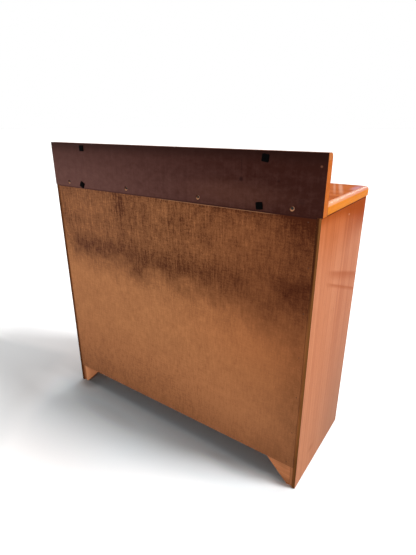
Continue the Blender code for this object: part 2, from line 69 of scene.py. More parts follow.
def seen(red, green, blue):
    """A colour as it looks on a screen, 0 to 255, turned into the linear one that a shader takes."""
    shown = np.array([red, green, blue]) / 255
    linear = np.where(shown <= 0.04045, shown / 12.92, ((shown + 0.055) / 1.055) ** 2.4)
    return (*linear.tolist(), 1.0)


class Finish:
    """A procedural material in Object coordinates: one shader, and short ways to add nodes that feed it."""

    def __init__(self, name, specular, roughness=0.5, metallic=0.0):
        self.material = bpy.data.materials.new(name)
        self.material.use_nodes = True
        self.tree = self.material.node_tree
        self.shader = self.tree.nodes["Principled BSDF"]
        self.shader.inputs["Roughness"].default_value = roughness
        self.shader.inputs["Specular IOR Level"].default_value = specular
        self.shader.inputs["Metallic"].default_value = metallic
        self.place = self.tree.nodes.new("ShaderNodeTexCoord").outputs["Object"]
        split = self.tree.nodes.new("ShaderNodeSeparateXYZ")
        self.tree.links.new(self.place, split.inputs[0])
        self.x, self.y, self.z = split.outputs
        self.off_middle = self.calc("ABSOLUTE", self.x)

    def join(self, socket, value):
        """Links an output to a socket, or sets the socket's own value."""
        if isinstance(value, bpy.types.NodeSocket):
            self.tree.links.new(value, socket)
        else:
            socket.default_value = value

    def calc(self, operation, *values):
        """One sum on numbers or outputs."""
        node = self.tree.nodes.new("ShaderNodeMath")
        node.operation = operation
        for socket, value in zip(node.inputs, values):
            self.join(socket, value)
        return node.outputs[0]

    def times(self, product, *others):
        """The product of numbers or outputs."""
        for other in others:
            product = self.calc("MULTIPLY", product, other)
        return product

    def total(self, *weighted):
        """The sum of outputs, each times its weight."""
        found = 0.0
        for value, weight in weighted:
            found = self.calc("MULTIPLY_ADD", value, weight, found)
        return found

    def fade(self, value, start, end):
        """A smooth step from 0 at the start to 1 at the end. The start may be the higher one."""
        node = self.tree.nodes.new("ShaderNodeMapRange")
        node.interpolation_type = "SMOOTHSTEP"
        for socket, given in zip(node.inputs, (value, start, end)):
            self.join(socket, given)
        return node.outputs[0]

    def noise(self, per_metre, detail=2.0, rough=0.5, twist=0.0, shift=0.0):
        """Soft noise from 0 to 1 with so many features in a metre along each axis."""
        stretch = self.tree.nodes.new("ShaderNodeMapping")
        self.join(stretch.inputs["Vector"], self.place)
        stretch.inputs["Location"].default_value = (shift, 2.3 * shift, 3.1 * shift)
        stretch.inputs["Scale"].default_value = per_metre
        node = self.tree.nodes.new("ShaderNodeTexNoise")
        self.join(node.inputs["Vector"], stretch.outputs[0])
        node.inputs["Scale"].default_value = 1.0
        node.inputs["Detail"].default_value = detail
        node.inputs["Roughness"].default_value = rough
        node.inputs["Distortion"].default_value = twist
        return node.outputs[0]

    def spot(self, first, second, middle, across, edge=0.6):
        """1 within a share, the edge, of an ellipse on two coordinates, fading to 0 at its rim."""
        parts = []
        for value, centre, reach in zip((first, second), middle, across):
            part = self.calc("DIVIDE", self.calc("SUBTRACT", value, centre), reach)
            parts.append(self.times(part, part))
        return self.fade(self.calc("SQRT", self.calc("ADD", *parts)), 1.0, edge)

    def mix(self, share, under, over, way="MIX"):
        """One colour over another by a share from 0 to 1."""
        node = self.tree.nodes.new("ShaderNodeMix")
        node.data_type = "RGBA"
        node.blend_type = way
        self.join(node.inputs[0], share)
        self.join(node.inputs[6], under)
        self.join(node.inputs[7], over)
        return node.outputs[2]

    def tint(self, under, mask, share, over):
        """One colour over another by a share of a mask."""
        return self.mix(self.times(mask, share), under, over)

    def ramp(self, value, *stops):
        """A colour for each value, through stops of a position and a colour."""
        node = self.tree.nodes.new("ShaderNodeValToRGB")
        marks = node.color_ramp.elements
        while len(marks) < len(stops):
            marks.new(0.5)
        for mark, (position, colour) in zip(marks, stops):
            mark.position = position
            mark.color = colour
        self.join(node.inputs[0], value)
        return node.outputs[0]

    def show(self, colour, roughness=None, relief=None, depth=0.0):
        """Feeds the shader: its colour, and where given its roughness and a relief of that depth."""
        self.join(self.shader.inputs["Base Color"], colour)
        if roughness is not None:
            self.join(self.shader.inputs["Roughness"], roughness)
        if relief is not None:
            node = self.tree.nodes.new("ShaderNodeBump")
            node.inputs["Distance"].default_value = depth
            self.join(node.inputs["Height"], relief)
            self.join(self.shader.inputs["Normal"], node.outputs[0])


def by_grain(along, with_grain, over_grain):
    """Features in a metre with the grain on one axis and over the grain on the other two."""
    per_metre = [over_grain] * 3
    per_metre[along] = with_grain
    return per_metre


def straight_grain(finish, along, shift=0.0):
    """Quarter-sawn figure: wide bands, narrower lines and fine pores, all drawn out along one axis."""
    bands = finish.noise(by_grain(along, 0.7, 17.0), 2.0, 0.55, 0.3, shift)
    lines = finish.noise(by_grain(along, 1.6, 110.0), 4.0, 0.62, 0.5, shift + 4.0)
    pores = finish.noise(by_grain(along, 24.0, 1250.0), 1.0, 0.5, 0.0, shift + 8.0)
    figure = finish.total((bands, 0.47), (lines, 0.53))
    return figure, finish.fade(pores, 0.58, 0.72)


def varnished(finish, figure, pores, dark, middle, light):
    """Teak under satin varnish: its colour, its gloss and its relief."""
    colour = finish.ramp(figure, (0.32, dark), (0.5, middle), (0.66, light))
    colour = finish.tint(colour, pores, 0.33, seen(90, 43, 21))
    gloss = finish.total((figure, -0.12), (pores, 0.12), (1.0, 0.46))
    return colour, gloss, finish.total((figure, 0.3), (pores, -0.7))


def dress(finish, *names):
    """Gives CAD boards this finish."""
    for name in names:
        BOARDS[name].material_slots[0].material = finish.material


side = Finish("teak_upright", specular=0.002)
figure, pores = straight_grain(side, 2)
tones = seen(172, 102, 72), seen(193, 124, 89), seen(204, 136, 101)
faced, gloss, relief = varnished(side, figure, pores, *tones)
front_edge = side.mix(0.5, faced, seen(160, 90, 50))
forward = side.fade(side.y, 0.14, -0.20)
# Painted sheen: lower down and towards the front the veneer is painted paler and pinker.
pale_sheen = side.times(side.fade(side.z, 0.62, -0.05), side.total((forward, 0.55), (1.0, 0.45)))
faced = side.tint(faced, pale_sheen, 0.80, seen(144, 109, 86))
faced = side.tint(faced, forward, 0.22, seen(152, 98, 88))
# Painted shade under the top: the veneer is painted a deeper orange there, streaked with the grain.
warm_from = side.total((forward, 0.136), (1.0, 0.545))
warm_to = side.total((forward, -0.047), (1.0, 0.79))
shade_under_top = side.fade(side.total((side.y, -0.20), (side.z, 1.0)), warm_from, warm_to)
streaked = side.ramp(
    figure, (0.34, seen(214, 210, 200)), (0.5, seen(244, 243, 240)), (0.64, seen(255, 255, 255))
)
shade_tone = side.mix(1.0, side.mix(forward, seen(186, 91, 26), seen(153, 64, 24)), streaked, "MULTIPLY")
faced = side.tint(faced, shade_under_top, 0.9, shade_tone)
# Painted shadow: a darker wedge just below the top, deepest towards the front.
shadow_wedge = side.fade(side.total((forward, 0.030), (side.z, 1.0)), SIDE_TOP_Z - 0.030, SIDE_TOP_Z + 0.006)
faced = side.tint(faced, shadow_wedge, 0.78, seen(148, 62, 4))
leftward = side.fade(side.x, 0.01, -0.01)
# Painted reflections: two long dark lines slanting across the left panel.
for rise, height, upward, downward, share in REFLECTED_LINES:
    off_line = side.total((side.y, -rise), (side.z, 1.0), (1.0, -height))
    reflected_line = side.times(
        side.fade(off_line, upward, 0.0), side.fade(off_line, -downward, 0.0),
        side.fade(side.y, 0.12, 0.04), leftward,
    )
    faced = side.tint(faced, reflected_line, share, seen(158, 82, 50))
# A painted highlight: a small pale dot.
highlight_dot = side.spot(side.y, side.z, (-0.0176, 0.7321), (0.006, 0.003))
faced = side.tint(faced, highlight_dot, 0.22, seen(236, 190, 150))
knot = side.spot(side.y, side.z, (0.078, 0.067), (0.030, 0.016), 0.1)
faced = side.tint(faced, knot, 0.25, seen(120, 60, 30))
# Painted shade: a dark line along the top edge, under the lipping.
grime_and_shade = side.fade(side.z, SIDE_TOP_Z - 0.0028, SIDE_TOP_Z - 0.0012)
faced = side.tint(faced, grime_and_shade, 0.7, seen(70, 28, 8))
plain = side.ramp(figure, (0.3, seen(170, 122, 80)), (0.7, seen(196, 148, 102)))
# Painted shade: the plain wood in the rebate, at the back, is painted darker.
plain = side.mix(side.fade(side.y, 0.166, 0.172), plain, seen(150, 96, 62))
on_face = side.fade(side.off_middle, SIDE_OUTER_X - 3 * SKIN, SIDE_OUTER_X - 2 * SKIN)
colour = side.mix(on_face, plain, faced)
mottle = side.noise((40.0, 40.0, 9.0), 4.0, 0.6)
# Tones across the sawn back edge. The dark band in each is the gap beside the rebate, painted darker as
# shade.
olive = side.ramp(
    side.off_middle, (0.4370, seen(132, 80, 46)), (0.4418, seen(126, 76, 42)), (0.4426, seen(90, 52, 27)),
    (0.4436, seen(94, 56, 28)), (0.4446, seen(118, 76, 40)), (0.4460, seen(112, 72, 36)),
    (0.4467, seen(84, 50, 22)),
)
gap_shade_upper = side.ramp(
    side.off_middle, (0.4412, seen(62, 30, 15)), (0.4426, seen(66, 34, 18)), (0.4436, seen(128, 82, 44)),
    (0.4458, seen(122, 78, 40)), (0.4467, seen(74, 42, 18)),
)
olive = side.mix(side.fade(side.z, 0.44, 0.62), olive, gap_shade_upper)
umber = side.ramp(
    side.off_middle, (0.4370, seen(120, 74, 44)), (0.4405, seen(96, 56, 32)), (0.4420, seen(64, 32, 14)),
    (0.4480, seen(86, 44, 18)),
)
raw_edge = side.mix(side.fade(side.x, -0.01, 0.01), olive, umber)
raw_edge = side.tint(raw_edge, side.fade(mottle, 0.5, 0.75), 0.45, seen(58, 32, 14))
raw_edge = side.tint(raw_edge, side.fade(side.z, 0.22, 0.04), 0.35, seen(54, 32, 14))
colour = side.mix(side.fade(side.y, SIDE_BACK_Y - 2 * SKIN, SIDE_BACK_Y - SKIN), colour, raw_edge)
colour = side.mix(side.fade(side.y, SIDE_FRONT_Y + 2 * SKIN, SIDE_FRONT_Y + SKIN), colour, front_edge)
side.show(colour, gloss, relief, depth=0.00012)
dress(side, "side_panel_left", "side_panel_right")


# Plinth rails and bottom panel
# The front rail is teak, set back under the drawers. The rear one is raw sawn softwood, darker at the bottom
# of one foot.
# Both were cut away in the middle so that they stand on a pointed foot at each end. The bottom lies on them,
# held by glued blocks.
BLOCK_LEG = 0.021
BLOCK_LENGTH = 0.056
BLOCK_EASE = 0.0015
BLOCK_BLUNT = 0.07
BLOCK_GAP = 0.0004
BLOCKS_ALONG_X = (-0.27, 0.0, 0.27)
BLOCKS_ALONG_Y = (-0.06, 0.09)
SHARP_FROM = math.radians(38)


def add_piece(name, shell, finish, body, stands_for=()):
    """A closed shell as an object at the origin, its faces turned outwards, riding on a CAD body."""
    points, groups = shell
    corners = [points[group] for group in groups]
    volume = sum(
        np.einsum("ij,ij->", face[:, 0], np.cross(face[:, k], face[:, k + 1]))
        for face in corners
        for k in range(1, face.shape[1] - 1)
    )
    turned_out = groups if volume > 0 else [group[:, ::-1] for group in groups]
    mesh = bpy.data.meshes.new(name)
    mesh.from_pydata(points.tolist(), [], [face for group in turned_out for face in group.tolist()])
    mesh.shade_smooth()
    mesh.set_sharp_from_angle(angle=SHARP_FROM)
    mesh.materials.append(finish.material)
    piece = bpy.data.objects.new(name, mesh)
    bpy.context.scene.collection.objects.link(piece)
    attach(piece, body)
    if stands_for:
        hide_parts(*stands_for)


def carried(grid):
    """A closed profile carried along a path: a row for each step of the path, a column for each point of the
    profile. Neighbouring rows are joined by quads, and a fan to the middle of its row closes each end."""
    rows, columns = grid.shape[:2]
    points = np.concatenate([grid.reshape(-1, 3), grid[[0, -1]].mean(axis=1)])
    rim = np.arange(columns)
    following = np.roll(rim, -1)
    first = (np.arange(rows - 1) * columns)[:, None]
    walls = np.stack([first + rim, first + following, first + columns + following, first + columns + rim], -1)
    last = (rows - 1) * columns
    start = np.stack([following, rim, np.full(columns, rows * columns)], -1)
    end = np.stack([last + rim, last + following, np.full(columns, rows * columns + 1)], -1)
    return points, [walls.reshape(-1, 4), start, end]


def bar(outline, along, stations, axes):
    """A closed outline carried along a straight line. Each station is a place on the line, and how far the
    outline is drawn in towards its middle there. The axes are those of the outline's two columns."""
    places, insets = np.array(stations).T
    inward = outline.mean(axis=0) - outline
    inward /= np.linalg.norm(inward, axis=1, keepdims=True)
    grid = np.empty((len(places), len(outline), 3))
    grid[..., axes] = outline + insets[:, None, None] * inward
    grid[..., along] = places[:, None]
    return carried(grid)


def together(*shells):
    """Several shells as one, their faces renumbered."""
    starts = np.cumsum([0] + [len(points) for points, _ in shells])
    faces = [group + start for (_, groups), start in zip(shells, starts) for group in groups]
    return np.concatenate([points for points, _ in shells]), faces


def glue_block(along, middle, corner, legs):
    """A three-cornered block in the angle between two boards, its long face blunted at both edges.
    The corner is on the two other axes, and each leg reaches off it along one of them."""
    axes = [axis for axis in range(3) if axis != along]
    corner, legs = np.array(corner), np.array(legs)
    share = np.array([[0.0, 0.0], [1.0, 0.0], [1.0, BLOCK_BLUNT], [BLOCK_BLUNT, 1.0], [0.0, 1.0]])
    half = BLOCK_LENGTH / 2
    stations = ((middle - half, BLOCK_EASE), (middle - half + BLOCK_EASE, 0.0),
                (middle + half - BLOCK_EASE, 0.0), (middle + half, BLOCK_EASE))
    return bar(corner + share * legs, along, stations, axes)


softwood = Finish("raw_softwood", specular=0.15, roughness=0.72)
grain = softwood.noise(by_grain(0, 3.0, 160.0), 4.0, 0.6, 0.8)
fuzz = softwood.noise((900.0, 900.0, 900.0), 2.0)
bare = softwood.ramp(grain, (0.28, seen(146, 88, 54)), (0.52, seen(172, 107, 67)), (0.75, seen(188, 124, 80)))
grime_and_shade = softwood.fade(softwood.noise((14.0, 14.0, 14.0), 4.0, 0.6, 0.0, 3.0), 0.45, 0.75)
bare = softwood.tint(bare, grime_and_shade, 0.45, seen(118, 72, 44))
bare = softwood.tint(bare, softwood.fade(softwood.x, 0.39, 0.43), 0.55, seen(212, 146, 100))
# Darker at the bottom of one foot, near the floor.
foot_bottom = softwood.times(softwood.fade(softwood.z, 0.035, 0.0), softwood.fade(softwood.x, 0.0, -0.3))
bare = softwood.tint(bare, foot_bottom, 0.5, seen(92, 54, 30))
softwood.show(bare, relief=softwood.total((grain, 0.6), (fuzz, 0.4)), depth=0.0003)
dress(softwood, "rear_plinth", "rear_top_rail")

level = Finish("teak_level", specular=0.08)
figure, pores = straight_grain(level, 0, 11.0)
level_tones = seen(140, 81, 48), seen(164, 102, 65), seen(178, 117, 79)
level.show(*varnished(level, figure, pores, *level_tones), depth=0.00012)
dress(level, "front_plinth", "front_top_rail", "bottom_panel")

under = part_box("bottom_panel")[0].z - BLOCK_GAP
front_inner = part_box("front_plinth")[1].y + BLOCK_GAP
rear_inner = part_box("rear_plinth")[0].y - BLOCK_GAP
side_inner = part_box("bottom_panel")[1].x - BLOCK_GAP
blocks = [
    glue_block(0, x, (y, under), (reach * BLOCK_LEG, -BLOCK_LEG))
    for x in BLOCKS_ALONG_X
    for y, reach in ((front_inner, 1), (rear_inner, -1))
]
blocks += [
    glue_block(1, y, (way * side_inner, under), (-way * BLOCK_LEG, -BLOCK_LEG))
    for y in BLOCKS_ALONG_Y
    for way in (-1, 1)
]
add_piece("plinth_glue_blocks", together(*blocks), softwood, "carcass")


# Runners
# Straight strips of planed beech that the drawers slide on, each held to its side panel by two countersunk
# screws with slotted heads.
SIDES = {"left": -1, "right": 1}
DRAWERS = (1, 2, 3, 4)
RUNNER_SCREW_PROUD = 0.0001
RUNNER_SCREW_FRONT = 0.045
RUNNER_SCREW_REAR = 0.060
RUNNER_SCREW_STEP = 37.0


def slotted_screw(head, shank, length, dome, slot_depth, slot_width):
    """A wood screw about +Z with its head's rim at zero. The head is a square grid bent to a disc: across is
    u * sqrt(1 - v*v/2), up is v * sqrt(1 - u*u/2). It is domed by 1 - r*r, and sunk where u is inside the
    slot."""
    cut = slot_width / head
    u = np.array([-1.0, -0.8, -0.55, -0.3, -cut - 0.02, -cut, cut, cut + 0.02, 0.3, 0.55, 0.8, 1.0])
    v = np.linspace(-1.0, 1.0, 11)
    v, u = np.meshgrid(v, u, indexing="ij")
    across, up = u * np.sqrt(1 - v * v / 2), v * np.sqrt(1 - u * u / 2)
    height = dome * (1 - across**2 - up**2) - slot_depth * (np.abs(u) <= cut)
    face = np.stack([head * across, head * up, height], -1)
    rows, columns = face.shape[:2]
    number = np.arange(rows * columns).reshape(rows, columns)
    quads = np.stack([number[:-1, :-1], number[:-1, 1:], number[1:, 1:], number[1:, :-1]], -1).reshape(-1, 4)
    rim = np.concatenate([number[0, :-1], number[:-1, -1], number[-1, :0:-1], number[:0:-1, 0]])
    lower = []
    for radius, level_z in ((head, -slot_depth), (shank, -slot_depth - head + shank), (shank, -length)):
        ring = face.reshape(-1, 3)[rim] * (radius / head, radius / head, 0.0)
        lower.append(ring + (0.0, 0.0, level_z))
    points = np.concatenate([face.reshape(-1, 3), *lower, [[0.0, 0.0, -length - shank]]])
    rings = [rim] + [rows * columns + k * len(rim) + np.arange(len(rim)) for k in range(3)]
    walls = [np.stack([a, b, np.roll(b, -1), np.roll(a, -1)], -1) for a, b in zip(rings, rings[1:])]
    tip = np.stack([rings[-1], np.full(len(rim), len(points) - 1), np.roll(rings[-1], -1)], -1)
    return points, [quads, *walls, tip]


def placed(shell, places, facing, turns=0.0, upright=(0.0, 0.0, 1.0)):
    """Copies of a fitting made about +Z, each spun about its own axis, faced along one direction and put in
    place."""
    points, groups = shell
    places = np.array(places, float)
    spin = np.broadcast_to(np.radians(turns), len(places))[:, None]
    x = points[:, 0] * np.cos(spin) - points[:, 1] * np.sin(spin)
    y = points[:, 0] * np.sin(spin) + points[:, 1] * np.cos(spin)
    z = np.broadcast_to(points[:, 2], x.shape)
    frame_of = np.array([np.cross(upright, facing), upright, facing], float)
    copies = np.stack([x, y, z], -1) @ frame_of + places[:, None]
    starts = (np.arange(len(places)) * len(points))[:, None, None]
    return copies.reshape(-1, 3), [(group + starts).reshape(-1, group.shape[1]) for group in groups]


def beech_finish(name, along):
    """Planed beech under a thin lacquer, with the short brown flecks of its rays."""
    made = Finish(name, specular=0.3, roughness=0.5)
    figure = made.noise(by_grain(along, 2.0, 90.0), 3.0, 0.6, 0.4)
    flecks = made.fade(made.noise(by_grain(along, 160.0, 900.0), 1.0, 0.5, 0.0, 5.0), 0.6, 0.7)
    planed = made.ramp(figure, (0.3, seen(198, 154, 108)), (0.7, seen(220, 180, 134)))
    planed = made.tint(planed, flecks, 0.4, seen(160, 112, 74))
    made.show(planed, relief=made.total((figure, 0.6), (flecks, -0.4)), depth=0.0001)
    return made


steel = Finish("dull_steel", specular=0.5, metallic=0.9)
tarnish = steel.noise((700.0, 700.0, 700.0), 3.0, 0.6)
metal = steel.ramp(tarnish, (0.3, seen(52, 44, 38)), (0.7, seen(122, 116, 108)))
steel.show(metal, steel.total((tarnish, 0.4), (1.0, 0.25)), tarnish, depth=0.00005)
beech_deep = beech_finish("planed_beech_deep", 1)
dress(beech_deep, *[f"runner_{n}_{name}" for n in DRAWERS for name in SIDES])
runner_screw = slotted_screw(
    head=0.0032, shank=0.0016, length=0.008, dome=0.0, slot_depth=0.0009, slot_width=0.0005
)
shells = []
for name, way in SIDES.items():
    strips = [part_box(f"runner_{n}_{name}") for n in DRAWERS]
    inner = (strips[0][0] if way > 0 else strips[0][1]).x - way * RUNNER_SCREW_PROUD
    places = [
        (inner, y, (low.z + high.z) / 2)
        for low, high in strips
        for y in (low.y + RUNNER_SCREW_FRONT, high.y - RUNNER_SCREW_REAR)
    ]
    turns = RUNNER_SCREW_STEP * np.arange(len(places))
    shells.append(placed(runner_screw, places, (-way, 0.0, 0.0), turns))
add_piece("runner_screws", together(*shells), steel, "carcass")


# Back panel
# A sheet of raw hardboard let into the rebates and pinned along its edges. Damp has left a dark tide line
# under a mottled upper third, with older stains about it, and the sheet is darker again towards its lower
# edge and towards one end. Just under the raised board it is painted darker as shade, with a thin pale
# painted highlight along part of the board's lower edge. Brown paint from the raised board runs over its
# upper edge.
PIN_HEAD = 0.0016
PIN_SHANK = 0.0006
PIN_PROFILE = (
    (0.0004, 0.0004), (0.0010, 0.00033), (PIN_HEAD, 0.0001),
    (PIN_HEAD, -0.0008), (PIN_SHANK, -0.001), (PIN_SHANK, -0.003),
)
PIN_EDGE = 0.0102
PIN_SLIP = 0.0018
PINS_IN_ROW = 7
PIN_ROW_HALF = 0.417
PINS_IN_COLUMN = 5
PIN_COLUMN_INSET = 0.113
SCREEN_MESH = 0.0026
# Each stain has its middle in x and z, its reach along and up, and its depth, below zero where it is paler
OLD_STAINS = (
    (0.168, 0.718, 0.050, 0.072, 0.17),
    (0.085, 0.500, 0.070, 0.060, 0.11),
    (0.240, 0.548, 0.070, 0.030, 0.09),
    (-0.425, 0.310, 0.070, 0.210, 0.13),
    (0.290, 0.705, 0.190, 0.075, -0.13),
    (0.270, 0.618, 0.170, 0.045, -0.09),
    (0.440, 0.575, 0.060, 0.090, -0.18),
    (-0.025, 0.640, 0.050, 0.035, -0.09),
    (-0.220, 0.640, 0.050, 0.035, -0.10),
    (-0.090, 0.532, 0.070, 0.045, -0.15),
    (-0.310, 0.570, 0.075, 0.050, -0.16),
    (-0.250, 0.150, 0.270, 0.110, -0.10),
)


def turned(profile, steps):
    """A profile of radius and height, from the top down, turned about Z."""
    radius, height = np.array(profile).T[..., None]
    angle = np.linspace(0.0, 2 * math.pi, steps, endpoint=False)
    return carried(np.stack([radius * np.cos(angle), radius * np.sin(angle), height + 0 * angle], -1))


board = Finish("raw_hardboard", specular=0.03, roughness=0.66)
across = board.calc("MULTIPLY_ADD", board.x, -1.144, 0.5)
clouds = board.noise((14.0, 1.0, 13.0), 3.0, 0.5, 0.3, 2.0)
fibres = board.noise((210.0, 1.0, 38.0), 2.0, 0.6)
threads = board.noise((42.0, 1.0, 200.0), 2.0, 0.6, 0.0, 9.0)
blotches = board.noise((58.0, 1.0, 44.0), 3.0, 0.65, 0.0, 4.0)
cells = board.noise((320.0, 1.0, 270.0), 2.0, 0.6, 0.0, 6.0)
streaks = board.noise((175.0, 1.0, 5.0), 0.0, 0.5, 0.0, 12.0)
weave = board.total((fibres, 0.30), (threads, 0.20), (blotches, 0.18), (cells, 0.32))
mottle = board.total((clouds, 0.30), (weave, 2.2), (1.0, -1.25))
mottle = board.times(mottle, board.total((board.fade(across, 0.55, 0.95), -0.5), (1.0, 1.0)))
mottle = board.total((mottle, 1.0), (board.times(mottle, mottle), -0.5))
squared = board.times(across, across)
upper = board.total((across, -0.011), (board.times(squared, squared), 0.03), (1.0, 0.599))
lower = board.total((across, -0.011), (squared, -0.121), (board.times(squared, squared), 0.03), (1.0, 0.459))
wet_z = board.total((board.z, 1.0), (blotches, 0.03), (clouds, 0.06), (1.0, -0.045))
damp = board.fade(wet_z, lower, upper)
above = board.calc("SUBTRACT", wet_z, upper)
band = board.times(damp, board.fade(above, 0.028, -0.036), board.fade(across, 0.0, 0.10))
# Darker towards one end.
dim_end = board.fade(across, 0.75, 1.02)
top_edge = board.times(board.fade(board.z, 0.700, 0.757), board.fade(across, 0.55, 0.75))
# Painted shade just under the raised board.
shade_under_board = board.times(board.fade(board.z, 0.742, 0.757), board.fade(across, 0.2, 0.6))
end_head = board.times(board.fade(across, 0.88, 0.98), board.fade(board.z, 0.63, 0.72))
runs = board.times(damp, board.fade(across, 1.1, 0.3), board.calc("SUBTRACT", streaks, 0.5))
stain = board.total(
    (damp, 0.51), (band, 0.20), (dim_end, 0.24), (top_edge, 0.12), (shade_under_board, 0.16), (end_head, 0.15),
    (board.times(damp, dim_end), -0.12), (1.0, 0.155),
    (mottle, 0.9), (board.times(damp, mottle), 0.28), (board.times(band, mottle), -0.35),
    (board.times(board.fade(board.z, 0.30, 0.12), mottle), 0.35), (runs, 0.27),
)
for x, z, along, up, depth in OLD_STAINS:
    stain = board.total((board.spot(board.x, board.z, (x, z), (along, up), 0.15), depth), (stain, 1.0))
dry = board.ramp(
    board.z, (0.07, seen(144, 92, 59)), (0.14, seen(155, 100, 64)), (0.22, seen(167, 109, 70)),
    (0.32, seen(172, 114, 73)),
)
ridges = [board.calc("SINE", board.times(place, 2 * math.pi / SCREEN_MESH)) for place in (board.x, board.z)]
imprint = board.total((weave, 0.8), (board.times(*ridges), 0.2))
rusted = board.times(board.fade(across, 0.4, 1.0), board.fade(board.z, 0.15, 0.45))
tinged = board.mix(rusted, (1.0, 1.0, 1.0, 1.0), (1.0, 0.86, 0.77, 1.0))
soaked = board.mix(board.fade(across, 0.1, 0.6), seen(66, 33, 24), seen(64, 30, 14))
colour = board.mix(1.0, board.mix(stain, dry, soaked), tinged, "MULTIPLY")
# A painted highlight: a thin pale line along part of the raised board's lower edge.
off_line = board.calc("ABSOLUTE", board.calc("SUBTRACT", board.z, 0.7526))
painted_highlight = board.times(
    board.fade(off_line, 0.0010, 0.0004), board.fade(board.x, 0.03, -0.02), board.fade(board.x, -0.36, -0.31)
)
colour = board.tint(colour, painted_highlight, 0.45, seen(176, 128, 92))
overpaint = board.mix(board.fade(board.x, -0.48, 0.40), seen(46, 20, 15), seen(74, 46, 41))
colour = board.mix(board.fade(board.z, 0.7531, 0.7537), colour, overpaint)
board.show(colour, relief=imprint, depth=0.0002)
dress(board, "back_panel")

low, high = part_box("back_panel")
edge_x = high.x - PIN_EDGE
row_x = np.linspace(-PIN_ROW_HALF, PIN_ROW_HALF, PINS_IN_ROW)
column_z = np.linspace(low.z + PIN_COLUMN_INSET, high.z - PIN_COLUMN_INSET, PINS_IN_COLUMN)
rows = [(x, z) for z in (low.z + PIN_EDGE, high.z - PIN_EDGE) for x in row_x]
columns = [(x, z) for x in (-edge_x, edge_x) for z in column_z]
pin_places = np.array(rows + columns)
count = np.arange(len(pin_places))
slips = PIN_SLIP * np.stack([np.sin(2.4 * count), np.sin(4.1 * count + 1.0)], -1)
pin_places = np.insert(pin_places + slips, 1, high.y, axis=1)
pin = turned(PIN_PROFILE, steps=12)
rusty = Finish("rusty_steel", specular=0.2, roughness=0.7, metallic=0.3)
rust = rusty.noise((1800.0, 1800.0, 1800.0), 2.0, 0.6)
metal = rusty.ramp(rust, (0.3, seen(52, 28, 17)), (0.7, seen(92, 56, 36)))
rusty.show(metal, relief=rust, depth=0.00005)
add_piece("back_pins", placed(pin, pin_places, (0.0, 1.0, 0.0)), rusty, "carcass")


# Top
# A veneered panel with solid lippings of a lighter teak on its front and ends, mitred at the front corners
# and rounded over together after they were glued on. A pale highlight is painted on the rounds, strongest on
# the ends. Near one front corner a pale haze and two pale streaks are painted on the panel as reflections.
LIPPING_WIDTH = 0.012
NOSE_ROUND = 0.009
NOSE_UNDER = 0.003
CORNER_ROUND = 0.008
GLUE_LINE = 0.00015
# Each painted reflection streak has its place, its half width and its share
REFLECTION_STREAKS = ((-0.411, 0.005, 0.17), (-0.4275, 0.008, 0.26))


def lipping_finish(name, along, shift, tones, highlight_z=2.0, highlight_share=0.0, joint_y=1.0):
    """Solid teak in given tones, with the pores of the veneer. Where asked for, a pale highlight is painted
    on the upper round and grime has settled past a joint."""
    made = Finish(name, specular=0.004)
    figure, pores = straight_grain(made, along, shift)
    colour, gloss, relief = varnished(made, figure, pores, *tones)
    # A painted highlight: the upper round is painted pale, lilac towards the front.
    painted_highlight = made.times(made.fade(made.z, highlight_z - 0.0088, highlight_z - 0.0040), highlight_share)
    highlight_tone = made.mix(made.fade(made.y, 0.15, -0.12), seen(202, 146, 113), seen(188, 131, 118))
    colour = made.mix(painted_highlight, colour, highlight_tone)
    grime_and_shade = made.fade(made.y, joint_y - 0.0016, joint_y - 0.0008)
    colour = made.tint(colour, grime_and_shade, 0.8, seen(74, 30, 8))
    made.show(colour, made.times(gloss, 0.6), relief, depth=0.00003)
    return made


def nosing(width, thickness, over, below, steps=10):
    """Section of a lipping, across from its glue line and up: flat on top, rounded outside, eased below."""
    turn = np.linspace(0.0, math.pi / 2, steps)
    upper = np.stack([width - over + over * np.sin(turn), thickness - over + over * np.cos(turn)], -1)
    lower = np.stack([width - below + below * np.cos(turn), below - below * np.sin(turn)], -1)
    return np.concatenate([[[0.0, thickness]], upper, lower, [[0.0, 0.0]]])


def lipping(section, inner, outer, base_z):
    """A section carried between two lines in plan, its width shared out from the inner to the outer one."""
    inner, outer = np.array(inner)[:, None], np.array(outer)[:, None]
    share = (section[:, 0] / LIPPING_WIDTH)[None, :, None]
    plan = inner + (outer - inner) * share
    height = np.broadcast_to(base_z + section[:, 1], plan.shape[:2])
    return carried(np.concatenate([plan, height[..., None]], -1))


top = Finish("teak_top", specular=0.001)
figure, pores = straight_grain(top, 0, 13.0)
top_tones = seen(142, 68, 30), seen(168, 88, 42), seen(188, 106, 56)
colour, gloss, relief = varnished(top, figure, pores, *top_tones)
slanted = top.total((top.x, 1.0), (top.y, 0.335))
# Painted reflections: two pale streaks across the top near one front corner.
for middle, reach, share in REFLECTION_STREAKS:
    streak_reflection = top.fade(top.calc("ABSOLUTE", top.calc("SUBTRACT", slanted, middle)), reach, 0.2 * reach)
    streak_reflection = top.times(streak_reflection, top.fade(top.y, 0.06, -0.06))
    colour = top.tint(colour, streak_reflection, share, seen(238, 200, 176))
# A painted reflection: a pale lilac haze near one front corner.
reflected_glare = top.spot(top.x, top.y, (-0.436, -0.115), (0.020, 0.065), 0.3)
colour = top.tint(colour, reflected_glare, 0.80, seen(176, 126, 136))
top.show(colour, gloss, relief, depth=0.00012)
dress(top, "top_panel")

